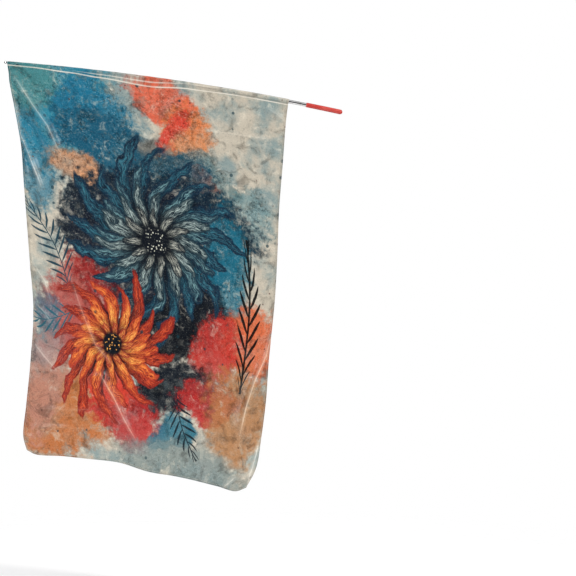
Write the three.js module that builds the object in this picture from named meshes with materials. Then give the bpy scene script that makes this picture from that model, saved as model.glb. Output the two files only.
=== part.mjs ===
// A hand-held worship flag: one printed cloth hung by its sewn sleeve on a drawn-out telescopic pole.
// Millimetres. +X runs along the flag towards the grip, -Y faces the viewer and +Z is up.
// The origin is the middle of the grip, where a hand holds the pole.
import * as THREE from 'three'

// Pole. Distances along it are counted from the middle of the grip and are negative towards the tip.
const POLE_TILT = THREE.MathUtils.degToRad(11.8) // slope at the grip, falling towards +X
const POLE_BEND_RADIUS = 9183 // the thin end droops, so the whole pole is a shallow arc
const POLE_LENGTH = 1204
const POLE_STEP = 60 // longest straight stretch in a bent tube
const POLE_SIDES = 14
const TUBE_WALL = 0.55
const TUBE_GAP = 0.35 // play between a tube and the one that it slides in
const TUBE_NESTING = 18 // length left inside the next tube when the pole is drawn out
const MOUTH_CHAMFER = 0.25

// A row for each tube, thinnest first; mouth is how far its open end lies from the ball's far end.
const TUBES = [
  { radius: 2.75, mouth: 9 },
  { radius: 3.65, mouth: 219 },
  { radius: 4.55, mouth: 433 },
  { radius: 5.45, mouth: 676 },
  { radius: 6.35, mouth: 925 },
]

// Ball that ends the thinnest tube, with a stub that is pressed into it.
const BALL_RADIUS = 4.75
const STUB_RADIUS = TUBES[0].radius - TUBE_WALL - TUBE_GAP
const STUB_LENGTH = 12

// Grip, a soft sleeve with a square front edge and a round closed butt.
const GRIP_LENGTH = 130
const GRIP_RADIUS = 8.5
const GRIP_SIDES = 20
const GRIP_FRONT_CHAMFER = 0.8
const GRIP_BUTT_THICKNESS = 12

// Cloth, sewn sleeve and hems.
const SLEEVE_LEFT = -1128 // along the pole
const FLAG_WIDTH = 1000 // hemmed width along the sleeve
const FLAG_DROP = 1400 // from the sleeve to the bottom hem, laid flat
const CLOTH = 1.2
const HEM = 2.4
const HEM_WIDTH = 12
const HEM_STEP = 4 // over which the hem thins to the single cloth
const SLEEVE_PLAY = 0.6 // between the sleeve and the thickest tube inside it
const SLEEVE_ARC_STEPS = 10
const SEAM_HEIGHT = 2 // solid strip above the seam where both walls are sewn together
const SEAM_HALF_SLIT = 0.25
const COLUMNS = 36
const ROWS = 40

// Depth of the seam line under the pole's axis, along the sleeve: it sags most in the middle.
const SEAM_SAG = [
  { along: 0, depth: 6.5 },
  { along: 0.08, depth: 7 },
  { along: 0.22, depth: 12.5 },
  { along: 0.33, depth: 18.5 },
  { along: 0.5, depth: 27 },
  { along: 0.65, depth: 15 },
  { along: 0.84, depth: 9.9 },
  { along: 1, depth: 9.9 },
]

// Free edges of the hung cloth seen from the front. The left and right ones start at the seam.
const LEFT_EDGE = [
  { x: -1095, z: 30 },
  { x: -1071, z: -110 },
  { x: -1057, z: -287 },
  { x: -1039, z: -533 },
  { x: -1026, z: -709 },
  { x: -1036, z: -892 },
  { x: -1050, z: -1043 },
  { x: -1060, z: -1152 },
]
const RIGHT_EDGE = [
  { x: -135, z: -47 },
  { x: -145, z: -181 },
  { x: -159, z: -357 },
  { x: -165, z: -515 },
  { x: -174, z: -674 },
  { x: -195, z: -885 },
  { x: -205, z: -1026 },
  { x: -223, z: -1167 },
  { x: -240, z: -1265 },
]
const BOTTOM_EDGE = [
  { x: -1048, z: -1202 },
  { x: -1014, z: -1219 },
  { x: -916, z: -1223 },
  { x: -818, z: -1233 },
  { x: -719, z: -1248 },
  { x: -621, z: -1279 },
  { x: -522, z: -1297 },
  { x: -374, z: -1328 },
  { x: -311, z: -1346 },
  { x: -276, z: -1336 },
]

// Main folds: height is how far the crest stands towards the viewer and width is its half-width.
const FOLDS = [
  // From the pointed corner
  { height: 20, width: 22, path: [[-1106, 140], [-1024, 6], [-980, -61], [-923, -181]] },
  { height: 17, width: 20, path: [[-1106, 130], [-1067, -61], [-1047, -139], [-1001, -264]] },
  { height: -13, width: 20, path: [[-1085, 60], [-1058, -110], [-1035, -230]] },
  // Left side
  { height: 13, width: 24, path: [[-1027, -528], [-991, -575], [-973, -681]] },
  { height: 10, width: 24, path: [[-1019, -693], [-976, -737], [-941, -790]] },
  { height: 12, width: 24, path: [[-1025, -829], [-962, -908], [-920, -940]] },
  // Lower middle and right side
  { height: 14, width: 26, path: [[-801, -908], [-719, -1064], [-650, -1177]] },
  { height: 18, width: 26, path: [[-203, -883], [-239, -958], [-285, -1113], [-304, -1165]] },
  { height: -10, width: 30, path: [[-262, -850], [-310, -985], [-350, -1110]] },
  { height: 10, width: 24, path: [[-232, -1195], [-254, -1254], [-269, -1307]] },
  // Under the sleeve's open end
  { height: 6, width: 22, path: [[-200, 2], [-146, -37]] },
]

// Broad waves of the hanging cloth: waves counts crests across it and drift leans them on the way down.
const WAVES = [
  { depth: 15, waves: 1.55, drift: 0.22, phase: 0.6 },
  { depth: 8, waves: 3.1, drift: -0.3, phase: 2.1 },
  { depth: 5, waves: 0.7, drift: 1.3, phase: 4.0 },
]
// Curled free edges: across from and to, growing on the way down from start to end.
const CURLS = [
  { depth: 20, from: 0.9, to: 1, start: 0.62, end: 0.95 },
  { depth: -10, from: 0.09, to: 0, start: 0.72, end: 1 },
]
const FOLD_START = 0.035 // share of the drop over which folds grow out of the straight seam

const smooth = THREE.MathUtils.smoothstep

// Point beside the pole's bent axis: back is towards +Y and up is square to the axis.
function besidePole(along, back, up) {
  const slope = POLE_TILT + along / POLE_BEND_RADIUS
  return new THREE.Vector3(
    POLE_BEND_RADIUS * (Math.sin(slope) - Math.sin(POLE_TILT)) + up * Math.sin(slope),
    back,
    POLE_BEND_RADIUS * (Math.cos(slope) - Math.cos(POLE_TILT)) + up * Math.cos(slope),
  )
}

// Distance along the pole of a point that lies so far from the ball's far end.
function fromTip(distance) {
  return distance - (POLE_LENGTH - GRIP_LENGTH / 2)
}

// Turns a profile of [radius, distance from the ball's far end] points about the pole's bent axis.
function turnedOnPole(profile, sides) {
  const points = profile.map(([radius, distance]) => new THREE.Vector2(radius, fromTip(distance)))
  const geometry = new THREE.LatheGeometry(points, sides)
  const place = geometry.getAttribute('position')
  for (let i = 0; i < place.count; i++) {
    const point = besidePole(place.getY(i), -place.getX(i), place.getZ(i))
    place.setXYZ(i, point.x, point.y, point.z)
  }
  geometry.deleteAttribute('normal')
  geometry.deleteAttribute('uv')
  return geometry
}

// Points along a straight wall, close enough together to follow the bend.
function wall(radius, start, end) {
  const steps = Math.ceil(Math.abs(end - start) / POLE_STEP)
  return Array.from({ length: steps + 1 }, (_, i) => [radius, start + ((end - start) * i) / steps])
}

function tube(index) {
  const { radius, mouth } = TUBES[index]
  const last = index === TUBES.length - 1
  const end = last ? POLE_LENGTH - GRIP_BUTT_THICKNESS - TUBE_GAP : TUBES[index + 1].mouth + TUBE_NESTING
  const outside = wall(radius, mouth + 2 * MOUTH_CHAMFER, end)
  const inside = wall(radius - TUBE_WALL, end, mouth)
  const lip = [radius - MOUTH_CHAMFER, mouth]
  return turnedOnPole([lip, ...outside, ...inside, lip], POLE_SIDES)
}

function ball() {
  const arcSteps = 8
  const neck = Math.PI - Math.asin(STUB_RADIUS / BALL_RADIUS)
  const arc = Array.from({ length: arcSteps + 1 }, (_, i) => {
    const turn = (neck * i) / arcSteps
    return [BALL_RADIUS * Math.sin(turn), BALL_RADIUS * (1 - Math.cos(turn))]
  })
  const stubEnd = 2 * BALL_RADIUS + STUB_LENGTH
  return turnedOnPole([...arc, [STUB_RADIUS, stubEnd], [0, stubEnd]], POLE_SIDES)
}

function grip() {
  const front = POLE_LENGTH - GRIP_LENGTH
  const bore = TUBES[TUBES.length - 1].radius + TUBE_GAP
  const boreEnd = POLE_LENGTH - GRIP_BUTT_THICKNESS
  const roundSteps = 6
  const roundButt = Array.from({ length: roundSteps }, (_, i) => {
    const turn = (Math.PI / 2) * ((i + 1) / roundSteps)
    return [GRIP_RADIUS * Math.cos(turn), POLE_LENGTH - GRIP_RADIUS * (1 - Math.sin(turn))]
  })
  const profile = [
    [0, boreEnd],
    ...wall(bore, boreEnd, front),
    [GRIP_RADIUS - GRIP_FRONT_CHAMFER, front],
    ...wall(GRIP_RADIUS, front + GRIP_FRONT_CHAMFER, POLE_LENGTH - GRIP_RADIUS),
    ...roundButt,
  ]
  return turnedOnPole(profile, GRIP_SIDES)
}

// Value of a table's column at a place between its rows, eased so that it has no corners.
function tableValue(rows, place, column) {
  const next = Math.max(1, rows.findIndex((row) => row.along >= place))
  const [low, high] = [rows[next - 1], rows[next]]
  const share = smooth(place, low.along, high.along)
  return low[column] + (high[column] - low[column]) * share
}

// Radius of the sleeve's inside over the pole: a straight taper that clears every tube's mouth.
function sleeveRadius(along) {
  const [thin, thick] = [TUBES[1], TUBES[4]]
  const taper = (thick.radius - thin.radius) / (thick.mouth - thin.mouth)
  const middleTubesProud = 0.14
  const fromThin = along - fromTip(thin.mouth)
  return thin.radius + middleTubesProud + taper * fromThin + SLEEVE_PLAY
}

const sleeveAlong = (u) => SLEEVE_LEFT + FLAG_WIDTH * u
const seamPoint = (u) => besidePole(sleeveAlong(u), 0, -tableValue(SEAM_SAG, u, 'depth'))

function edgeCurve(points) {
  return new THREE.CatmullRomCurve3(points.map(({ x, z }) => new THREE.Vector3(x, 0, z)))
}

const corners = { left: BOTTOM_EDGE[0], right: BOTTOM_EDGE[BOTTOM_EDGE.length - 1] }
const leftCurve = edgeCurve([seamPoint(0), ...LEFT_EDGE, corners.left])
const rightCurve = edgeCurve([seamPoint(1), ...RIGHT_EDGE, corners.right])
const bottomCurve = edgeCurve(BOTTOM_EDGE)

// Place in the flag's outline: the four edges blended, so that rows and columns follow the cloth's threads.
function outlinePoint(u, v) {
  const point = seamPoint(u).multiplyScalar(1 - v)
  point.addScaledVector(bottomCurve.getPointAt(u), v)
  point.addScaledVector(leftCurve.getPointAt(v), 1 - u)
  point.addScaledVector(rightCurve.getPointAt(v), u)
  point.addScaledVector(seamPoint(0), -(1 - u) * (1 - v))
  point.addScaledVector(seamPoint(1), -u * (1 - v))
  point.addScaledVector(bottomCurve.getPointAt(0), -(1 - u) * v)
  point.addScaledVector(bottomCurve.getPointAt(1), -u * v)
  return point
}

function distanceToPath(x, z, path) {
  let nearest = Infinity
  for (let i = 0; i + 1 < path.length; i++) {
    const [startX, startZ] = path[i]
    const [runX, runZ] = [path[i + 1][0] - startX, path[i + 1][1] - startZ]
    const share = ((x - startX) * runX + (z - startZ) * runZ) / (runX * runX + runZ * runZ)
    const on = THREE.MathUtils.clamp(share, 0, 1)
    nearest = Math.min(nearest, Math.hypot(x - startX - on * runX, z - startZ - on * runZ))
  }
  return nearest
}

// Middle of the cloth, with its waves, curled edges and folds.
function clothPoint(u, v) {
  const point = outlinePoint(u, v)
  let back = 0
  for (const { depth, waves, drift, phase } of WAVES)
    back += depth * v ** 0.8 * Math.sin(2 * Math.PI * (waves * u + drift * v) + phase)
  for (const { depth, from, to, start, end } of CURLS) {
    const across = from < to ? smooth(u, from, to) : smooth(1 - u, 1 - from, 1 - to)
    back += depth * across * smooth(v, start, end)
  }
  for (const { height, width, path } of FOLDS)
    back -= height * Math.exp(-((distanceToPath(point.x, point.z, path) / width) ** 2))
  point.y = back * smooth(v, 0, FOLD_START)
  return point
}

// Direction square to the cloth, towards the back.
function clothNormal(u, v) {
  const step = 0.002
  const across = clothPoint(Math.min(1, u + step), v).sub(clothPoint(Math.max(0, u - step), v))
  const down = clothPoint(u, Math.min(1, v + step)).sub(clothPoint(u, Math.max(0, v - step)))
  return across.cross(down).normalize()
}

// Lines of the cloth's grid from 0 to 1, with two more beside each edge that carries a hem.
function gridLines(count, length, hemAtStart) {
  const hem = HEM_WIDTH / length
  const step = (HEM_WIDTH + HEM_STEP) / length
  const start = hemAtStart ? step : 0
  const middle = Array.from({ length: count + 1 }, (_, i) => start + ((1 - step - start) * i) / count)
  return [...(hemAtStart ? [0, hem] : []), ...middle, 1 - hem, 1]
}

function clothThickness(u, v) {
  const edge = Math.min(u * FLAG_WIDTH, (1 - u) * FLAG_WIDTH, (1 - v) * FLAG_DROP)
  return edge < HEM_WIDTH + HEM_STEP / 2 ? HEM : CLOTH
}

// Section of the sleeve at u: matching points on its outside and inside, from the front of the seam
// over the pole to the back of the seam.
function sleeveSection(u) {
  const along = sleeveAlong(u)
  const depth = tableValue(SEAM_SAG, u, 'depth')
  const inside = sleeveRadius(along)
  const outside = inside + CLOTH
  const leave = Math.PI - Math.acos(Math.min(0.95, outside / depth))
  const section = { outer: [], inner: [besidePole(along, -SEAM_HALF_SLIT, SEAM_HEIGHT - depth)] }
  for (let i = 0; i <= SLEEVE_ARC_STEPS; i++) {
    const turn = leave * ((2 * i) / SLEEVE_ARC_STEPS - 1)
    section.outer.push(besidePole(along, outside * Math.sin(turn), outside * Math.cos(turn)))
    section.inner.push(besidePole(along, inside * Math.sin(turn), inside * Math.cos(turn)))
  }
  section.inner.push(besidePole(along, SEAM_HALF_SLIT, SEAM_HEIGHT - depth))
  return section
}

// The cloth is one closed skin: each column is a loop up the front, over the sleeve and down the back,
// and a second loop lines the sleeve. Both ends of the sleeve are open.
function flagCloth() {
  const us = gridLines(COLUMNS, FLAG_WIDTH, true)
  const vs = gridLines(ROWS, FLAG_DROP, false)
  const points = []
  const faces = []
  const loops = us.map((u) => {
    const first = points.length
    const front = []
    const back = []
    for (const v of vs) {
      const middle = clothPoint(u, v)
      const normal = v === 0 ? new THREE.Vector3(0, 1, 0) : clothNormal(u, v)
      const half = clothThickness(u, v) / 2
      front.unshift(middle.clone().addScaledVector(normal, -half))
      back.push(middle.clone().addScaledVector(normal, half))
    }
    const { outer, inner } = sleeveSection(u)
    points.push(...front, ...outer, ...back, ...inner)
    const number = (count, start) => Array.from({ length: count }, (_, i) => start + i)
    const skinCount = front.length + outer.length + back.length
    return { skin: number(skinCount, first), lining: number(inner.length, first + skinCount) }
  })

  // A cell's front and back are split along the same line, so the cloth keeps its thickness in folds.
  const quad = (a, b, c, d, turned) => faces.push(...(turned ? [a, d, c, a, c, b] : [a, d, b, b, d, c]))
  const join = (one, other) => {
    for (let i = 0; i < one.length; i++) {
      const next = (i + 1) % one.length
      quad(one[i], one[next], other[next], other[i], i >= one.length / 2)
    }
  }
  for (let i = 0; i + 1 < loops.length; i++) {
    join(loops[i].skin, loops[i + 1].skin)
    join(loops[i + 1].lining, loops[i].lining)
  }

  // Each end is closed by the cloth's cut edge and by a ring round the sleeve's mouth.
  const close = ({ skin, lining }, flip) => {
    const face = flip ? (a, b, c, d) => quad(d, c, b, a) : quad
    const rows = vs.length
    for (let j = 0; j + 1 < rows; j++)
      face(skin[j], skin[j + 1], skin[skin.length - 2 - j], skin[skin.length - 1 - j])
    for (let k = 0; k < lining.length; k++) {
      const next = (k + 1) % lining.length
      face(skin[rows - 1 + k], skin[rows - 1 + next], lining[next], lining[k])
    }
  }
  close(loops[0], true)
  close(loops[loops.length - 1], false)

  const geometry = new THREE.BufferGeometry()
  geometry.setAttribute('position', new THREE.Float32BufferAttribute(points.flatMap((p) => p.toArray()), 3))
  geometry.setIndex(faces)
  return geometry
}

const cloth = new THREE.MeshStandardMaterial({ color: 0x5b8a94, roughness: 0.7, metalness: 0 })
const steel = new THREE.MeshStandardMaterial({ color: 0xc4c6c8, roughness: 0.22, metalness: 1 })
const coralRubber = new THREE.MeshStandardMaterial({ color: 0xd9534a, roughness: 0.6, metalness: 0 })

const group = new THREE.Group()

function add(name, geometry, material) {
  const mesh = new THREE.Mesh(geometry, material.clone())
  mesh.name = name
  group.add(mesh)
}

add('flag_cloth', flagCloth(), cloth)
TUBES.forEach((_, index) => add(`pole_tube_${index + 1}`, tube(index), steel))
add('pole_ball', ball(), steel)
add('pole_grip', grip(), coralRubber)

export default group
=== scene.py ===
"""A worship flag of thin printed cloth, hung by its sewn sleeve on a drawn-out telescopic pole.

Metres, +X along the flag towards the grip, -Y towards the viewer, +Z up. The origin is the middle of the
grip. Sizes below are in millimetres, as the object was measured, and MM turns them into metres.
"""

import inspect
import math

import bmesh
import bpy
import numpy as np
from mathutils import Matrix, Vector


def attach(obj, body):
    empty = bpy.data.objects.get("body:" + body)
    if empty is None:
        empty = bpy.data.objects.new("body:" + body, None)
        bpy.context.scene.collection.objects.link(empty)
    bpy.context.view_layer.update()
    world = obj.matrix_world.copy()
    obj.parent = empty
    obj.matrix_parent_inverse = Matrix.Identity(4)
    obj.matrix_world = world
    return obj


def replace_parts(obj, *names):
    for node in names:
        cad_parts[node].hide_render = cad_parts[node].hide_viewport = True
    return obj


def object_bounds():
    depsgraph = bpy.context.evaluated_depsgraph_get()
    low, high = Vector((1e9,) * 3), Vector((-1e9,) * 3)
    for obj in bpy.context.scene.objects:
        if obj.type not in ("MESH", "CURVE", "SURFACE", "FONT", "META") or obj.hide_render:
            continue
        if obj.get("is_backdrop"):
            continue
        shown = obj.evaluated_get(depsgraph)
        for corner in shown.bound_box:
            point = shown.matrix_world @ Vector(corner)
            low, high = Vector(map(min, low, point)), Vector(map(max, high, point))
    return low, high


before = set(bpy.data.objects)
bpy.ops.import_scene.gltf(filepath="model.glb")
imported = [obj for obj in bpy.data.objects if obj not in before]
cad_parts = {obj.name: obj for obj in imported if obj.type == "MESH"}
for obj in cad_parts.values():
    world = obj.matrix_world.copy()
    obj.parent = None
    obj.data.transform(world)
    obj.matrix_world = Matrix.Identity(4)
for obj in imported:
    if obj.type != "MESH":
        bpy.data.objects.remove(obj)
cad_low, cad_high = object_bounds()

MM = 0.001

# Pole. Places along its axis are counted from the middle of the grip and are negative towards the tip, and
# TUBE_MOUTHS are counted from the ball's far end.
POLE_TILT = math.radians(11.8)
POLE_BEND_RADIUS = 9183
POLE_LENGTH = 1204
GRIP_LENGTH = 130
GRIP_RADIUS = 8.5
TUBE_WALL = 0.55
TUBE_GAP = 0.35
TUBE_NESTING = 18
TUBE_RADII = (2.75, 3.65, 4.55, 5.45, 6.35)
TUBE_MOUTHS = (9, 219, 433, 676, 925)
TUBE_LIP = 0.26
BALL_RADIUS = 4.75
BALL_STUB = 12
BUTT_WALL = 12
GRIP_CORNER = 0.9
GRIP_SLIM = 0.15
POLE_SIDES = 56
POLE_STEP = 12

# Cloth
FLAG_WIDTH = 1000
FLAG_DROP = 1400
SLEEVE_LEFT = -1128
CLOTH = 0.6
SLEEVE_PLAY = 0.6
SLEEVE_ARC_STEPS = 26
SEAM_HEIGHT = 2.2
SEAM_HALF_SLIT = 0.15
HEM_WIDTH = 8
COLUMNS = 164
ROWS = 214

# Depth of the seam line under the pole's axis, as (share of the sleeve, depth).
SEAM_SAG = ((0, 6.5), (0.08, 7), (0.22, 12.5), (0.33, 18.5), (0.5, 27), (0.65, 15), (0.84, 9.9), (1, 9.9))

# Free edges of the hung cloth seen from the front, as (x, z).
LEFT_EDGE = (
    (-1095, 30), (-1071, -110), (-1057, -287), (-1039, -533),
    (-1026, -709), (-1036, -892), (-1050, -1043), (-1060, -1152),
)
RIGHT_EDGE = (
    (-135, -47), (-145, -181), (-159, -357), (-165, -515), (-174, -674),
    (-195, -885), (-205, -1026), (-223, -1167), (-240, -1265),
)
BOTTOM_EDGE = (
    (-1048, -1202), (-1014, -1219), (-916, -1223), (-818, -1233), (-719, -1248),
    (-621, -1279), (-522, -1297), (-374, -1328), (-311, -1346), (-276, -1336),
)

# Folds of the hung cloth, as (height towards the viewer, half-width, path of x and z).
FOLDS = (
    (20, 22, ((-1106, 140), (-1024, 6), (-980, -61), (-923, -181))),
    (17, 20, ((-1106, 130), (-1067, -61), (-1047, -139), (-1001, -264))),
    (-13, 20, ((-1085, 60), (-1058, -110), (-1035, -230))),
    (13, 24, ((-1027, -528), (-991, -575), (-973, -681))),
    (10, 24, ((-1019, -693), (-976, -737), (-941, -790))),
    (12, 24, ((-1025, -829), (-962, -908), (-920, -940))),
    (14, 26, ((-801, -908), (-719, -1064), (-650, -1177))),
    (18, 26, ((-203, -883), (-239, -958), (-285, -1113), (-304, -1165))),
    (-10, 30, ((-262, -850), (-310, -985), (-350, -1110))),
    (10, 24, ((-232, -1195), (-254, -1254), (-269, -1307))),
    (6, 22, ((-200, 2), (-146, -37))),
)

# Waves as (depth, crests across, drift, phase), curls as (depth, from, to, start, end).
WAVES = ((15, 1.55, 0.22, 0.6), (8, 3.1, -0.3, 2.1), (5, 0.7, 1.3, 4.0))
CURLS = ((20, 0.9, 1, 0.62, 0.95), (-10, 0.09, 0, 0.72, 1))

# The cloth lies flat against its seam, and its folds start below it. FADE_IN and FADE_OUT are the shares of
# a fold's path over which it rises and sinks again.
FOLD_START = 0.035
FADE_IN = 0.12
FADE_OUT = 0.22
CURVE_SAMPLES = 120


def smooth(value, low, high):
    """A smooth step from 0 at low to 1 at high."""
    share = np.clip((value - low) / (high - low), 0, 1)
    return share * share * (3 - 2 * share)


def beside_pole(along, back, up):
    """Points beside the pole's bent axis: back is towards +Y and up is square to the axis."""
    along, back, up = np.broadcast_arrays(along, back, up)
    slope = POLE_TILT + along / POLE_BEND_RADIUS
    x = POLE_BEND_RADIUS * (np.sin(slope) - math.sin(POLE_TILT)) + up * np.sin(slope)
    z = POLE_BEND_RADIUS * (np.cos(slope) - math.cos(POLE_TILT)) + up * np.cos(slope)
    return np.stack([x, back, z], axis=-1)


def from_tip(distance):
    """Place along the pole's axis at a distance from the ball's far end."""
    return distance - (POLE_LENGTH - GRIP_LENGTH / 2)


def seam_depth(u):
    """How far the seam line lies under the pole's axis, at shares of the sleeve."""
    depth = np.zeros_like(u)
    for (low, start), (high, end) in zip(SEAM_SAG, SEAM_SAG[1:]):
        here = (u >= low) & (u <= high)
        depth = np.where(here, start + (end - start) * smooth(u, low, high), depth)
    return depth


def sleeve_radius(along):
    """Inside radius of the sleeve over the pole, a straight taper that clears every tube's mouth."""
    taper = (TUBE_RADII[4] - TUBE_RADII[1]) / (TUBE_MOUTHS[4] - TUBE_MOUTHS[1])
    middle_tubes_proud = 0.14
    from_thin = along - from_tip(TUBE_MOUTHS[1])
    return TUBE_RADII[1] + middle_tubes_proud + taper * from_thin + SLEEVE_PLAY


def unit(vectors):
    return vectors / np.linalg.norm(vectors, axis=-1, keepdims=True)


def running_length(line):
    """Distance along a line of points, from 0 at its start."""
    return np.concatenate([[0], np.cumsum(np.linalg.norm(np.diff(line, axis=0), axis=1))])


def on_line(line, length, distance):
    """Points of a line at the given distances, measured as length measures them."""
    return np.stack([np.interp(distance, length, line[:, k]) for k in range(3)], axis=-1)


def smooth_curve(points):
    """A centripetal curve through (x, z) points, as a function of the share of its length."""
    given = np.array([(x, 0, z) for x, z in points], float)
    ends = np.vstack([2 * given[0] - given[1], given, 2 * given[-1] - given[-2]])
    samples = []
    for i in range(len(given) - 1):
        before, start, end, after = ends[i : i + 4]
        steps = ((before, start), (start, end), (end, after))
        first, gap, last = (math.sqrt(np.linalg.norm(b - a)) for a, b in steps)
        leave = (start - before) / first - (end - before) / (first + gap) + (end - start) / gap
        arrive = (end - start) / gap - (after - start) / (gap + last) + (after - end) / last
        leave, arrive = leave * gap, arrive * gap
        t = np.linspace(0, 1, CURVE_SAMPLES, endpoint=i == len(given) - 2)[:, None]
        cubic = (2 * start - 2 * end + leave + arrive) * t**3
        square = (3 * end - 3 * start - 2 * leave - arrive) * t**2
        samples.append(cubic + square + leave * t + start)
    line = np.vstack(samples)
    length = running_length(line)
    length /= length[-1]
    return lambda share: on_line(line, length, share)


def seam_points(u):
    return beside_pole(SLEEVE_LEFT + FLAG_WIDTH * u, 0.0, -seam_depth(u))


seam_ends = [(x, z) for x, _, z in seam_points(np.array([0.0, 1.0]))]
left_curve = smooth_curve([seam_ends[0], *LEFT_EDGE, BOTTOM_EDGE[0]])
right_curve = smooth_curve([seam_ends[1], *RIGHT_EDGE, BOTTOM_EDGE[-1]])
bottom_curve = smooth_curve(BOTTOM_EDGE)


def outline_points(u, v):
    """Place in the flag's outline of each thread crossing, by blending the four edges."""
    a, b = u[..., None], v[..., None]
    corner = [seam_points(np.array(share)) for share in (0.0, 1.0)]
    low = [bottom_curve(share) for share in (0.0, 1.0)]
    point = seam_points(u) * (1 - b) + bottom_curve(u) * b + left_curve(v) * (1 - a) + right_curve(v) * a
    point = point - corner[0] * (1 - a) * (1 - b) - corner[1] * a * (1 - b)
    return point - low[0] * (1 - a) * b - low[1] * a * b


def fold_relief(x, z, height, half_width, path):
    """Rise of a fold beside its path, which fades in and out along the path."""
    nearest, share, passed = np.full(x.shape, np.inf), np.zeros(x.shape), 0
    for (start_x, start_z), (end_x, end_z) in zip(path, path[1:]):
        run_x, run_z = end_x - start_x, end_z - start_z
        run = math.hypot(run_x, run_z)
        on = np.clip(((x - start_x) * run_x + (z - start_z) * run_z) / run**2, 0, 1)
        gap = np.hypot(x - start_x - on * run_x, z - start_z - on * run_z)
        share = np.where(gap < nearest, passed + on * run, share)
        nearest = np.minimum(nearest, gap)
        passed += run
    fade = smooth(share / passed, 0, FADE_IN) * smooth(1 - share / passed, 0, FADE_OUT)
    return height * np.exp(-((nearest / half_width) ** 2)) * fade


# Creases too fine for the solids, as (height, half-width, strength of a highlight painted along the crest,
# path of x and z): the sharp crests of the main folds, small pulls beside them, and the faint lines left by
# packing.
CREASES = (
    (5.4, 7.5, 0.8, ((-1108, 142), (-1024, 12), (-972, -62), (-921, -176))),
    (5.4, 7.5, 0.8, ((-1108, 132), (-1069, -90), (-1034, -176), (-994, -275))),
    (2.0, 8, 0.8, ((-1038, -160), (-1014, -226), (-992, -290))),
    (2.0, 8, 0.55, ((-1030, -158), (-1006, -224), (-984, -286))),
    (-3.6, 9, 0, ((-1106, 130), (-1050, 0), (-1016, -70), (-985, -150))),
    (-3.2, 9, 0, ((-1104, 110), (-1082, -60), (-1062, -150), (-1040, -230))),
    (2.4, 8, 0, ((-1100, 136), (-1008, 30), (-950, -40), (-900, -90))),
    (4.0, 7, 0.3, ((-1030, -395), (-1000, -450), (-984, -520))),
    (5.0, 7, 0.6, ((-1030, -540), (-984, -605), (-960, -690))),
    (5.0, 7, 0.6, ((-1027, -674), (-987, -715), (-955, -762))),
    (5.0, 7, 0.7, ((-1032, -812), (-987, -870), (-927, -937))),
    (2.0, 8, 0, ((-1012, -770), (-975, -815), (-930, -856))),
    (4.0, 7.5, 0.45, ((-900, -570), (-853, -709), (-805, -829), (-733, -915))),
    (7.0, 7, 0.9, ((-801, -908), (-740, -1014), (-704, -1092), (-655, -1182))),
    (2.2, 8, 0, ((-880, -560), (-850, -690), (-812, -840))),
    (2.0, 8, 0, ((-700, -985), (-664, -1080), (-640, -1130))),
    (7.0, 7, 1.0, ((-172, -750), (-205, -870), (-246, -964), (-273, -1045), (-302, -1170))),
    (-3.0, 10, 0, ((-232, -890), (-272, -980), (-306, -1090))),
    (2.6, 8, 0, ((-182, -760), (-196, -850), (-214, -930))),
    (6.0, 7, 1.0, ((-226, -1150), (-240, -1218), (-253, -1262), (-276, -1336))),
    (5.0, 7, 0.9, ((-306, -1290), (-330, -1310), (-362, -1338))),
    (2.6, 7, 0.35, ((-206, 6), (-176, -14), (-146, -37), (-134, -58))),
    (1.8, 7, 0, ((-250, -10), (-200, -44), (-150, -80))),
    (2.4, 7, 0.2, ((-560, -68), (-420, -78), (-300, -92), (-160, -112))),
    (1.5, 7, 0, ((-480, -112), (-330, -124), (-170, -142))),
    (2.6, 7, 0.2, ((-520, -250), (-380, -266), (-170, -276))),
    (2.4, 7, 0.16, ((-1060, -1052), (-900, -1060), (-740, -1054))),
    (2.4, 7, 0.16, ((-1060, -1116), (-880, -1124), (-700, -1118))),
    (1.5, 7, 0, ((-782, -1020), (-786, -1090), (-780, -1150))),
    (1.3, 7, 0, ((-892, -920), (-894, -980), (-890, -1026))),
    (1.3, 7, 0, ((-640, -300), (-600, -480), (-585, -640))),
    (1.2, 7, 0, ((-420, -600), (-400, -760), (-392, -900))),
)

# Soft puckers as (height, length along the threads, length down, phase), summed over the whole cloth.
PUCKERS = (
    (0.9, 70, 260, 0.3),
    (0.7, 46, 150, 1.7),
    (0.5, 120, 62, 3.1),
    (0.35, 33, 90, 5.2),
    (0.3, 160, 37, 0.9),
)


# Gathers of the cloth under the seam: height, gathers along the seam, and how far down they reach.
GATHER_HEIGHT = 1.2
GATHERS = 34
GATHER_REACH = 26
GATHER_START = 0.006

# Hem and seam: layers in a folded hem, roundness of its edge, place of its stitches, and the seam's ridge.
HEM_LAYERS = 2.1
HEM_ROUND = 0.7
STITCH_INSET = 2
RIDGE_HEIGHT = 1.5
RIDGE_DROP = 1.5
RIDGE_WIDTH = 2.6


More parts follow.
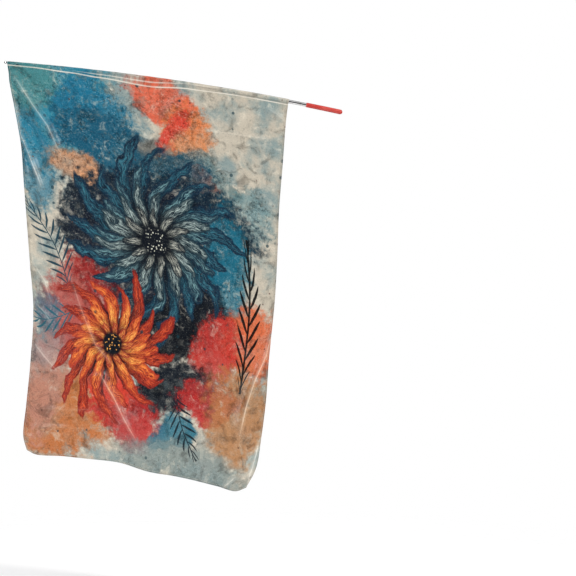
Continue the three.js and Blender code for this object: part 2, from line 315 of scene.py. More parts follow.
def cloth_points(u, v):
    """Middle of the cloth with its waves, curled edges, folds, creases and puckers."""
    point = outline_points(u, v)
    x, z = point[..., 0], point[..., 2]
    back = np.zeros(x.shape)
    for depth, waves, drift, phase in WAVES:
        back += depth * v**0.8 * np.sin(2 * math.pi * (waves * u + drift * v) + phase)
    for depth, start_u, end_u, start, end in CURLS:
        across = smooth(u, start_u, end_u) if start_u < end_u else smooth(1 - u, 1 - start_u, 1 - end_u)
        back += depth * across * smooth(v, start, end)
    for height, half_width, path in FOLDS:
        back -= fold_relief(x, z, height, half_width, path)
    for height, half_width, _, path in CREASES:
        back -= fold_relief(x, z, height, half_width, path)
    for height, across, down, phase in PUCKERS:
        lean = 0.6 * np.sin(z / (2.3 * down) + phase)
        back += height * np.sin(x / across * math.pi + lean + phase) * np.cos(z / down + phase * 2 + lean)
    gather = GATHER_HEIGHT * np.sin(u * 2 * math.pi * GATHERS + 2 * np.sin(u * 9))
    gather = gather * np.exp(-v * FLAG_DROP / GATHER_REACH)
    point[..., 1] = back * smooth(v, 0, FOLD_START) + gather * smooth(v, 0, GATHER_START)
    return point


def half_thickness(u, v):
    """Half the cloth's thickness, with its hems folded double and stitched down and its seam raised."""
    edge = np.minimum(np.minimum(u, 1 - u) * FLAG_WIDTH, (1 - v) * FLAG_DROP)
    rounded = np.sqrt(np.clip(1 - (1 - np.clip(edge / HEM_ROUND, 0, 1)) ** 2, 0, 1))
    folded = CLOTH * (0.35 + HEM_LAYERS * rounded)
    stitched = 1 - 0.35 * np.exp(-(((edge - HEM_WIDTH + STITCH_INSET) / 1.2) ** 2))
    inner_edge = 1 - smooth(edge, HEM_WIDTH - 0.4, HEM_WIDTH + 0.8)
    hem = CLOTH + (folded * stitched - CLOTH) * inner_edge
    seam = RIDGE_HEIGHT * np.exp(-(((v * FLAG_DROP - RIDGE_DROP) / RIDGE_WIDTH) ** 2))
    return (hem + seam)[..., None] / 2


# Distances of the grid's lines from a hemmed edge, and from the seam line.
HEM_LINES = (0, 0.35, 1.1, 3, 5, 6, 7, 7.7, 8.8, 11)
SEAM_LINES = (0, 1, 2, 3.2, 4.6, 6.4, 9)


def grid_lines(count, length, start_lines):
    """Lines of the cloth's grid from 0 to 1: even in the middle and close together at hems and seam."""
    first, last = start_lines[-1], length - HEM_LINES[-1]
    middle = np.linspace(first, last, count + 1)[1:-1]
    ends = [length - line for line in reversed(HEM_LINES)]
    return np.concatenate([start_lines, middle, ends]) / length


def make_mesh(name, points, faces, uvs=None):
    """A mesh object from points in millimetres, with smooth faces and an optional map of flat places."""
    mesh = bpy.data.meshes.new(name)
    mesh.from_pydata((np.asarray(points) * MM).tolist(), [], faces)
    if uvs is not None:
        layer = mesh.uv_layers.new(name="flat")
        corner_vertices = np.empty(len(mesh.loops), int)
        mesh.loops.foreach_get("vertex_index", corner_vertices)
        layer.data.foreach_set("uv", np.asarray(uvs)[corner_vertices].ravel())
    mesh.shade_smooth()
    mesh.update()
    piece = bpy.data.objects.new(name, mesh)
    bpy.context.scene.collection.objects.link(piece)
    return piece


def ring_faces(one, other):
    """Triangles between two loops of the same length. The second half of each loop is split the other
    way, so that the front and back of thin cloth are split alike."""
    corners = [loop.tolist() for loop in (one, other, np.roll(other, -1), np.roll(one, -1))]
    faces = []
    for i, (a, b, c, d) in enumerate(zip(*corners)):
        faces += [(a, b, d), (b, c, d)] if i < len(one) // 2 else [(a, b, c), (a, c, d)]
    return faces


# Outside of the sleeve: heights of its wrinkles and ripples, and a pleat, with its place as a share of the
# way round from the pole's top.
WRINKLE = 0.45
RIPPLE = 0.3
PLEAT_HEIGHT = 1.7
PLEAT_TURN = -0.9
PLEAT_WIDTH = 0.07
SEAM_TO_SLEEVE = 8


def sleeve_loops(us):
    """Outside and lining of the sleeve, from the front of the seam over the pole to its back."""
    along = SLEEVE_LEFT + FLAG_WIDTH * us[:, None]
    depth = seam_depth(us)[:, None]
    inside = sleeve_radius(along)
    turn = np.linspace(-1, 1, SLEEVE_ARC_STEPS + 1)[None, :]
    angle = (np.pi - np.arccos(np.minimum(0.95, (inside + CLOTH) / depth))) * turn
    wrinkle = WRINKLE * np.clip(np.sin(5 * turn * np.pi + 0.02 * along), 0, 1)
    wrinkle = wrinkle * (0.6 + 0.4 * np.sin(along / 57.0)) + RIPPLE * np.sin(along / 19.0 + turn) ** 2
    pleat = PLEAT_HEIGHT * (smooth(us, 0.24, 0.36) * smooth(1 - us, 0.06, 0.2))[:, None]
    wrinkle = wrinkle + pleat * np.exp(-(((turn - PLEAT_TURN) / PLEAT_WIDTH) ** 2))
    outside = inside + CLOTH + wrinkle
    outer = beside_pole(along, outside * np.sin(angle), outside * np.cos(angle))
    lining = beside_pole(along, inside * np.sin(angle), inside * np.cos(angle))
    slit = [beside_pole(along, side * SEAM_HALF_SLIT, SEAM_HEIGHT - depth) for side in (-1, 1)]
    return outer, np.concatenate([slit[0], lining, slit[1]], axis=1)


def cloth_faces(columns, rows, skin_size, lining_size):
    """Faces of the cloth's skin and of the sleeve's lining, and over the ends at the flag's two sides."""
    first = np.arange(columns)[:, None] * (skin_size + lining_size)
    skin = first + np.arange(skin_size)
    lining = first + skin_size + np.arange(lining_size)
    faces = []
    for i in range(columns - 1):
        faces += ring_faces(skin[i], skin[i + 1])
        faces += ring_faces(lining[i + 1], lining[i])
    for i, turned in ((0, False), (columns - 1, True)):
        loop, liner = skin[i], lining[i]
        ends = [(loop[j], loop[j + 1], loop[-2 - j], loop[-1 - j]) for j in range(rows - 1)]
        for k in range(lining_size):
            after = (k + 1) % lining_size
            ends.append((loop[rows - 1 + k], loop[rows - 1 + after], liner[after], liner[k]))
        faces += [tuple(int(p) for p in (face[::-1] if turned else face)) for face in ends]
    return faces


def make_cloth():
    us = grid_lines(COLUMNS, FLAG_WIDTH, np.array(HEM_LINES, float))
    vs = grid_lines(ROWS, FLAG_DROP, np.array(SEAM_LINES, float))
    u, v = np.meshgrid(us, vs, indexing="ij")
    middle = cloth_points(u, v)
    normal = unit(np.cross(np.gradient(middle, us, axis=0), np.gradient(middle, vs, axis=1)))
    normal[:, 0] = (0, 1, 0)
    half = normal * half_thickness(u, v)
    outer, lining = sleeve_loops(us)
    skin = np.concatenate([(middle - half)[:, ::-1], outer, middle + half], axis=1)
    points = np.concatenate([skin, lining], axis=1).reshape(-1, 3)
    faces = cloth_faces(len(us), len(vs), skin.shape[1], lining.shape[1])

    # Flat places: across the cloth, and down it with the sleeve above the seam as negative drops.
    half_loop = np.concatenate([[0], np.cumsum(np.linalg.norm(np.diff(outer, axis=1), axis=2).mean(0))])
    rise = np.minimum(half_loop, half_loop[-1] - half_loop) + SEAM_TO_SLEEVE
    flat_down = np.concatenate([vs[::-1] * FLAG_DROP, -rise, vs * FLAG_DROP, [0.0], -rise, [0.0]])
    flat_across = np.repeat(us * FLAG_WIDTH, len(flat_down))
    uvs = np.stack([flat_across, np.tile(flat_down, len(us))], axis=1) * MM
    return make_mesh("flag_print", points, faces, uvs)


cloth = make_cloth()

# Camera: level, square to the pole and the cloth, at the photograph's framing.
PIXEL = 3.52 * MM
FRAME_PIXELS = 576
ORIGIN_PIXEL = (324.3, 108.6)
CAMERA_DISTANCE = 7.0


def make_camera():
    data = bpy.data.cameras.new("camera")
    middle = FRAME_PIXELS / 2
    data.sensor_width = 36
    data.lens = data.sensor_width * CAMERA_DISTANCE / (FRAME_PIXELS * PIXEL)
    data.clip_end = 100
    camera = bpy.data.objects.new("camera", data)
    camera.location = (
        (middle - ORIGIN_PIXEL[0]) * PIXEL,
        -CAMERA_DISTANCE,
        (ORIGIN_PIXEL[1] - middle) * PIXEL,
    )
    camera.rotation_euler = (math.radians(90), 0, 0)
    bpy.context.scene.collection.objects.link(camera)
    bpy.context.scene.camera = camera


make_camera()


def turned_on_pole(name, profile):
    """A closed profile of (radius, distance from the ball's far end), turned about the pole's bent axis."""
    turn = np.linspace(-0.5, 1.5, POLE_SIDES, endpoint=False) * np.pi
    radius = np.array([r for r, _ in profile])[:, None]
    along = from_tip(np.array([s for _, s in profile]))[:, None]
    points = beside_pole(along, -radius * np.sin(turn), radius * np.cos(turn)).reshape(-1, 3)
    uvs = np.stack(np.broadcast_arrays(along * MM, turn), axis=-1).reshape(-1, 2)
    loops = [np.arange(POLE_SIDES) + i * POLE_SIDES for i in range(len(profile))]
    faces = []
    for one, other in zip(loops, loops[1:]):
        faces += ring_faces(one, other)
    piece = make_mesh(name, points, faces, uvs)
    close_poles(piece)
    return piece


def close_poles(piece):
    """Merges the points that meet on the axis or where the profile closes on itself."""
    mesh = bmesh.new()
    mesh.from_mesh(piece.data)
    bmesh.ops.remove_doubles(mesh, verts=mesh.verts, dist=0.01 * MM)
    bmesh.ops.recalc_face_normals(mesh, faces=mesh.faces)
    mesh.to_mesh(piece.data)
    mesh.free()
    piece.data.shade_smooth()


def wall(radius, start, end):
    """Straight stretch of a profile, in steps short enough for the pole's bend."""
    steps = math.ceil(abs(end - start) / POLE_STEP)
    return [(radius, start + (end - start) * i / steps) for i in range(steps + 1)]


def arc(centre_radius, centre_along, size, start, end, steps=6):
    """Rounded corner of a profile, with angles in degrees from straight out towards the butt."""
    turns = [math.radians(start + (end - start) * i / steps) for i in range(steps + 1)]
    return [(centre_radius + size * math.cos(a), centre_along + size * math.sin(a)) for a in turns]


def make_tube(index):
    radius, mouth = TUBE_RADII[index], TUBE_MOUTHS[index]
    last = index == len(TUBE_RADII) - 1
    butt = POLE_LENGTH - BUTT_WALL - TUBE_GAP
    end = butt if last else TUBE_MOUTHS[index + 1] + TUBE_NESTING
    profile = arc(radius - TUBE_LIP, mouth + TUBE_LIP, TUBE_LIP, -90, 0)
    profile += wall(radius, mouth + 2 * TUBE_LIP, end)
    profile += wall(radius - TUBE_WALL, end, mouth)
    piece = turned_on_pole(f"steel_tube_{index + 1}", profile + [profile[0]])
    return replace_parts(piece, f"pole_tube_{index + 1}")


def make_ball():
    neck_radius = TUBE_RADII[0] - TUBE_WALL - TUBE_GAP
    neck = 180 - math.degrees(math.asin(neck_radius / BALL_RADIUS))
    turns = [math.radians(neck * i / 22) for i in range(23)]
    profile = [(BALL_RADIUS * math.sin(a), BALL_RADIUS * (1 - math.cos(a))) for a in turns]
    stub_end = 2 * BALL_RADIUS + BALL_STUB
    profile += [(neck_radius, stub_end - 0.4), (neck_radius - 0.4, stub_end), (0, stub_end)]
    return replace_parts(turned_on_pole("tip_ball", profile), "pole_ball")


def make_grip():
    front, butt_start = POLE_LENGTH - GRIP_LENGTH, POLE_LENGTH - GRIP_RADIUS
    bore, bore_end = TUBE_RADII[-1] + TUBE_GAP, POLE_LENGTH - BUTT_WALL
    body = GRIP_RADIUS - GRIP_SLIM
    profile = [(0, bore_end)] + wall(bore, bore_end, front + 0.2) + [(bore + 0.2, front)]
    profile += arc(body - GRIP_CORNER, front + GRIP_CORNER, GRIP_CORNER, -90, 0)
    for _, along in wall(0, front + 3, butt_start):
        swell = GRIP_SLIM * math.cos(math.pi * (along - front) / GRIP_LENGTH)
        profile.append((body - swell * 0.6, along))
    butt_radius = profile[-1][0]
    for i in range(1, 15):
        a = math.radians(90 * i / 14)
        profile.append((butt_radius * math.cos(a), butt_start + GRIP_RADIUS * math.sin(a)))
    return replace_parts(turned_on_pole("hand_grip", profile), "pole_grip")


tubes = [make_tube(index) for index in range(len(TUBE_RADII))]
ball = make_ball()
grip = make_grip()

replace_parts(cloth, "flag_cloth")


def linear(code):
    """Linear colour from a screen colour such as 1f6f86."""
    parts = [int(code[i : i + 2], 16) / 255 for i in (0, 2, 4)]
    return tuple(p / 12.92 if p <= 0.04045 else ((p + 0.055) / 1.055) ** 2.4 for p in parts)


def joined_by(operation):
    return lambda one, other: one.paint.math(operation, one, other)


def cos_sin(degrees):
    return math.cos(math.radians(degrees)), math.sin(math.radians(degrees))


class Value:
    """A number or colour in a material's nodes, which takes part in sums."""

    def __init__(self, paint, socket):
        self.paint, self.socket = paint, socket

    def __rsub__(self, other):
        return self.paint.math("SUBTRACT", other, self)

    def __abs__(self):
        return self.paint.math("ABSOLUTE", self)

    __add__ = __radd__ = joined_by("ADD")
    __sub__ = joined_by("SUBTRACT")
    __mul__ = __rmul__ = joined_by("MULTIPLY")
    __truediv__ = joined_by("DIVIDE")
    __pow__ = joined_by("POWER")


class Paint:
    """Builds the nodes of one material, one group of nodes or the world."""

    def __init__(self, owner):
        self.owner = bpy.data.materials.new(owner) if isinstance(owner, str) else owner
        if isinstance(owner, bpy.types.NodeTree):
            self.tree = owner
        else:
            self.owner.use_nodes = True
            self.tree = self.owner.node_tree

    def feed(self, socket, value):
        if isinstance(value, Value):
            self.tree.links.new(value.socket, socket)
        elif isinstance(value, tuple) and len(value) == 3 and socket.type == "RGBA":
            socket.default_value = (*value, 1)
        else:
            socket.default_value = value

    def node(self, kind, inputs=(), **settings):
        """A new node with its settings, and with inputs given in their order, or by name or number."""
        node = self.tree.nodes.new(kind)
        for key, value in settings.items():
            setattr(node, key, value)
        for key, value in inputs.items() if isinstance(inputs, dict) else enumerate(inputs):
            self.feed(node.inputs[key], value)
        return node

    def value(self, kind, inputs=(), output=0, **settings):
        """One output of a new node."""
        return Value(self, self.node(kind, inputs, **settings).outputs[output])

    def values(self, kind, inputs=(), **settings):
        """All outputs of a new node."""
        return [Value(self, socket) for socket in self.node(kind, inputs, **settings).outputs]

    def math(self, operation, *values):
        return self.value("ShaderNodeMath", values, operation=operation)

    def smooth(self, value, low, high, start=0.0, end=1.0):
        """start below low, end above high, and a smooth step between them; low may be over high."""
        if low > high:
            low, high, start, end = high, low, end, start
        steps = (value, low, high, start, end)
        return self.value("ShaderNodeMapRange", steps, interpolation_type="SMOOTHSTEP")

    def place(self, x, y, z):
        return self.value("ShaderNodeCombineXYZ", (x, y, z))

    def object_place(self):
        return self.value("ShaderNodeTexCoord", output="Object")

    def flat_place(self):
        """Place on the piece laid flat, from its map."""
        flat = self.value("ShaderNodeUVMap", uv_map="flat")
        return self.values("ShaderNodeSeparateXYZ", (flat,))[:2]

    def noise(self, place, scale, detail, roughness, distortion=0.0):
        """Cloudy noise at a place, which may be given as (x, y, z)."""
        place = self.place(*place) if isinstance(place, tuple) else place
        names = ("Vector", "Scale", "Detail", "Roughness", "Distortion")
        inputs = dict(zip(names, (place, scale, detail, roughness, distortion)))
        return self.value("ShaderNodeTexNoise", inputs, "Fac", noise_dimensions="3D")

    def random(self, value):
        return self.value("ShaderNodeTexWhiteNoise", {"W": value}, "Value", noise_dimensions="1D")

    def mix(self, under, over, share, blend="MIX"):
        inputs = {0: share, 6: under, 7: over}
        return self.value("ShaderNodeMix", inputs, 2, data_type="RGBA", blend_type=blend)

    def cells(self, place, scale):
        """Distance to the middle of chance cells, and a chance number of each cell."""
        node = self.node("ShaderNodeTexVoronoi", {"Vector": place, "Scale": scale}, feature="F1")
        chance = self.value("ShaderNodeSeparateColor", (Value(self, node.outputs["Color"]),))
        return Value(self, node.outputs["Distance"]), chance

    def between(self, dark, pale, noise):
        """A colour that wanders between two screen colours."""
        return self.mix(linear(dark), linear(pale), self.smooth(noise, 0.35, 0.7))

    def use(self, group, *values):
        """Results of a group of nodes for the values of its inputs."""
        return self.values("ShaderNodeGroup", values, node_tree=group)

    def bump(self, height, distance, strength, under=None):
        inputs = {"Height": height, "Distance": distance, "Strength": strength}
        if under is not None:
            inputs["Normal"] = under
        return self.value("ShaderNodeBump", inputs)

    def finish(self, **sockets):
        shader = self.tree.nodes["Principled BSDF"]
        for key, value in sockets.items():
            self.feed(shader.inputs[key.replace("_", " ")], value)
        return self.owner


# Watercolour washes, as (place across, place down, half-width, half-height, turn in degrees, colour,
# strength, softness of the rim), with places and sizes in centimetres on the flat cloth, and strength and
# softness in hundredths.
WASHES = (
    (12, 11, 32, 26, 20, "15889c", 95, 45),
    (5, 4, 12, 10, 0, "5a8c88", 70, 50),
    (40, 12, 8, 12, 10, "8a9898", 85, 50),
    (27, 15, 15, 13, -35, "007a94", 97, 35),
    (38, 27, 24, 13, 25, "05637a", 95, 40),
    (5, 34, 7, 20, 0, "2b8299", 75, 45),
    (20, 35, 11, 6, 25, "cf9565", 80, 65),
    (55, 25, 11, 5, 20, "857f76", 85, 50),
    (57, 7.5, 15, 7.5, 32, "cf6038", 88, 45),
    (64, 17, 10, 11, -20, "cc8449", 80, 45),
    (59, 15, 9, 3.5, -55, "c4281f", 80, 70),
    (72, 31, 13, 6, 30, "6b8384", 80, 40),
    (70, 34, 7, 3.5, 20, "d67a48", 85, 35),
    (60, 33, 17, 9, 10, "1b5a6d", 92, 45),
    (87, 42, 10, 9, 0, "6a9096", 65, 50),
    (54, 47, 36, 15, 6, "0d3446", 100, 35),
    (23, 55, 11, 15, 0, "142c3c", 100, 40),
    (50, 64, 33, 26, 0, "162639", 100, 35),
    (80, 64, 8, 22, -6, "16768a", 95, 45),
    (72, 82, 12, 12, 20, "14222f", 100, 40),
    (56, 90, 14, 12, 0, "0f1b28", 100, 40),
    (92, 88, 12, 13, 0, "cb6c3a", 92, 45),
    (78, 93, 10, 13, 10, "b93326", 92, 45),
    (20, 86, 15, 19, 30, "aa2c22", 80, 45),
    (6, 96, 5, 12, 0, "2f7f92", 70, 50),
    (13, 123, 25, 15, -8, "b5743c", 95, 50),
    (4, 113, 12, 20, 0, "b0897e", 75, 50),
    (62, 110, 19, 9, -12, "142331", 100, 40),
    (42, 120, 16, 10, 25, "b12a28", 92, 40),
    (34, 110, 13, 7, 30, "c54527", 85, 40),
    (76, 112, 14, 7, -15, "b72d29", 90, 40),
    (88, 115, 13, 16, 0, "ad7f52", 85, 50),
    (61, 126, 9, 5, -20, "1f7588", 90, 40),
    (68, 135, 28, 8, 5, "818e8d", 80, 60),
)
GROUND = "bab3a6"
GROUND_SHADE = "8f9c9b"
PAPER = "d9d2c4"
RIM = "20343d"
INK = "141f2b"
# Colour of the painted highlights along the folds' crests:
CREST = "ffefd9"
DUST = "8d8a80"
BACKRUN = "c9c3b6"
PALE_GRIT = "c9c6ba"
DARK_SPECKLE = "101820"
PALE_SPECKLE = "ece6da"
HEM_SHADE = "6d6a66"
# Colour of the painted highlights along the seam and the sleeve's pleat:
SEAM_THREAD = "fbf4e6"
MIDDLE_TONE = 0.25
CONTRAST = 1.34
SATURATION = 0.97

# Blooms, as (place across, place down, radius, twist, seed, rows of petals). A row of petals is (count,
# length, turn, colour of the roots, colour of the body, colour of the streaks).
COOL_BLOOM = (0.51, 0.57, 0.36, -0.11, 3.7, (
    (17, 1.00, 0.3, "0e1c29", "153a4f", "4d8794"),
    (15, 0.82, 0.8, "0e1b28", "183b4e", "86a8aa"),
    (13, 0.62, 0.1, "0d1925", "203e4a", "b7c3be"),
    (11, 0.40, 0.6, "0b151f", "182c38", "cfcfc3"),
))
WARM_BLOOM = (0.34, 0.97, 0.27, 0.13, 8.1, (
    (16, 1.00, 0.6, "14202b", "8f2a1b", "d0642c"),
    (14, 0.78, 0.2, "3d1418", "ad4020", "e0923c"),
    (12, 0.56, 0.9, "5c1718", "c4662b", "e6bd63"),
    (10, 0.34, 0.4, "34161a", "a03a28", "e2ab5a"),
))

# Sprays of leaves, as (place across, place down, turn in degrees, length, leaves along it, leaf length,
# slant of the leaves, bend, colour), and for the last the thickness of its leaves and its stem.
SPRAYS = (
    (0.16, 0.80, -118, 0.36, 11.0, 0.060, 1.6, 0.03, "1d4a58"),
    (0.20, 0.86, 168, 0.26, 8.0, 0.050, 1.6, -0.02, "2b6a78"),
    (0.62, 1.10, 62, 0.26, 8.0, 0.050, 1.5, 0.02, "1f2f3a"),
)
DARK_SPRAY = (0.885, 1.06, -91, 0.55, 9.0, 0.047, 1.5, 0.020, "0a0d11", 0.52, 0.0055)

# Drops of paint, as (cells a metre, greatest size in cells, colour, chance over which a cell starts to have
# one, chance over which it is full).
DROPS = ((26.0, 0.18, "234a55", 0.8, 0.9), (43.0, 0.14, "5c3a33", 0.88, 0.95))

# How far a slow noise moves the washes and the blooms, in metres, and how finely the cloth is woven, in
# radians a metre.
WASH_SWAY = 0.21
BRUSH_SWAY = 0.05
WEAVE = 7800.0

# Noises of the print and of the crumpled cloth, as (scale, detail, roughness, distortion).
SWAY = (4.5, 7.0, 0.62, 0.0)
GRAIN = (34.0, 9.0, 0.66, 0.0)
BLOTS = (9.0, 6.0, 0.6, 0.3)
SPECKLES = (210.0, 5.0, 0.7, 0.0)
POOLS = (17.0, 9.0, 0.68, 0.7)
GRIT = (88.0, 5.0, 0.8, 0.4)
TINT = (26.0, 8.0, 0.72, 0.0)
CURL = (9.0, 3.0, 0.5, 0.0)
CRUMPLE = (16.0, 5.0, 0.5, 0.0)


def wash_nodes(
    paint, under, colour, wet, x, y, rough, thinning, rim_strength,
    centre_x, centre_y, cos, sin, half_width, half_height, strength, softness,
):
    """A blot of wet colour with a ragged edge and a darker rim, and the wet places so far."""
    dx, dy = x - centre_x, y - centre_y
    across = (dx * cos + dy * sin) / half_width
    down = (dy * cos - dx * sin) / half_height
    reach = (across * across + down * down) ** 0.5 + rough
    cover = paint.smooth((1.0 - reach) / softness + 0.5, 0.0, 1.0)
    painted = paint.mix(under, colour, cover * thinning * strength)
    rim = paint.smooth(reach, 0.78, 0.98) * paint.smooth(reach, 1.1, 0.98)
    painted = paint.mix(painted, linear(RIM), rim * rim_strength)
    return painted, paint.math("MAXIMUM", wet, cover)


def petal_nodes(paint, under, root, body, streak, reach, turn, count, length, start, seed, luck, layer):
    """One ring of a bloom's petals, each with hair-fine strokes along it."""
    cell = turn * count + start
    index = paint.math("FLOORED_MODULO", paint.math("FLOOR", cell), count)
    chance = paint.random(index + seed + luck)
    share = reach / (chance * (length * 0.34) + length * 0.78)
    beside = abs(paint.math("FRACT", cell) - 0.5)
    inside = paint.math("MAXIMUM", 1.0 - share, 0.0) ** 0.52 * 0.62 - beside
    hair = paint.noise((reach * 2.2 + chance * 7.0, turn * (count * 2.6), layer), 6.0, 3.0, 0.7)
    fine = paint.noise((reach * 3.4, turn * (count * 9.0), layer + 2.0), 6.0, 2.0, 0.6)
    stroke = hair * 0.55 + fine * 0.45
    cover = paint.smooth(inside + (fine - 0.5) * 0.13, 0.0, 0.05) * paint.smooth(share, 1.02, 0.96)
    light = paint.smooth(stroke, 0.44, 0.62) * paint.smooth(share, 0.28, 0.62)
    petal = paint.mix(root, body, paint.smooth(share, 0.25, 0.75))
    petal = paint.mix(petal, streak, light * paint.smooth(inside, 0.02, 0.22) * 0.9)
    petal = paint.mix(petal, root, paint.smooth(stroke, 0.47, 0.36, 0.0, 0.8))
    return (paint.mix(under, petal, cover),)


def spray_nodes(paint, under, colour, x, y, cos, sin, length, leaves, leaf_length, slant, bend, thick, stem):
    """A bent stem that runs from x, y = 0, 0, with slender leaves on both of its sides."""
    along = (x * cos + y * sin) / length
    beside = y * cos - x * sin - paint.math("SINE", along * math.pi) * bend
    away = abs(beside)
    side = paint.smooth(beside, -0.0005, 0.0005, 0.0, 0.5)
    size = paint.smooth(along, -0.1, 0.35) * paint.smooth(along, 1.0, 0.55, 0.28, 1.0) * leaf_length
    out = away / size
    local = abs(paint.math("FRACT", along * leaves + side - out * slant) - 0.5)
    width = paint.math("MAXIMUM", out * (1.0 - out), 0.0) ** 0.6 * thick
    leaf = paint.smooth(width - local, 0.0, 0.05)
    line = paint.smooth(away / stem, 1.0, 0.45)
    within = paint.math("GREATER_THAN", along, 0.0) * paint.math("LESS_THAN", along, 1.0)
    return (paint.mix(under, colour, paint.math("MAXIMUM", leaf, line) * within * 0.95),)


def segment_nodes(paint, x, z, start_x, start_z, run_x, run_z, squared):
    """Where along a straight stretch a place is nearest to, and how far away it is."""
    from_x, from_z = x - start_x, z - start_z
    on = (from_x * run_x + from_z * run_z) / squared
    on = paint.math("MAXIMUM", paint.math("MINIMUM", on, 1.0), 0.0)
    away_x, away_z = from_x - on * run_x, from_z - on * run_z
    return on, (away_x * away_x + away_z * away_z) ** 0.5


def crest_nodes(paint, under, gap, grain, fade):
    """Painted highlight along a line: the print lightened towards cream, with a fainter painted band beside
    it.
    """
    line = paint.smooth(gap + (grain - 0.5) * 0.003, 0.0040, 0.0004)
    band = paint.smooth(gap + (grain - 0.5) * 0.006, 0.013, 0.002) * 0.3
    pale = paint.mix(under, paint.mix(under, linear(CREST), 0.4), 1.0, "SCREEN")
    cover = paint.math("MAXIMUM", line, band) * fade * paint.smooth(grain, 0.3, 0.6, 0.6, 1.0)
    return (paint.mix(under, pale, cover),)


COLOUR_INPUTS = {"under", "colour", "root", "body", "streak"}


def make_group(build):
    """A reusable group of nodes, with an input for each parameter of build after its paint."""
    tree = bpy.data.node_groups.new(build.__name__, "ShaderNodeTree")
    for key in list(inspect.signature(build).parameters)[1:]:
        kind = "NodeSocketColor" if key in COLOUR_INPUTS else "NodeSocketFloat"
        tree.interface.new_socket(key, in_out="INPUT", socket_type=kind)
    paint = Paint(tree)
    entry = paint.node("NodeGroupInput")
    results = build(paint, *(Value(paint, socket) for socket in entry.outputs if socket.name))
    for number, value in enumerate(results):
        kind = "NodeSocketColor" if value.socket.type == "RGBA" else "NodeSocketFloat"
        tree.interface.new_socket(f"result_{number}", in_out="OUTPUT", socket_type=kind)
    paint.node("NodeGroupOutput", results)
    return tree


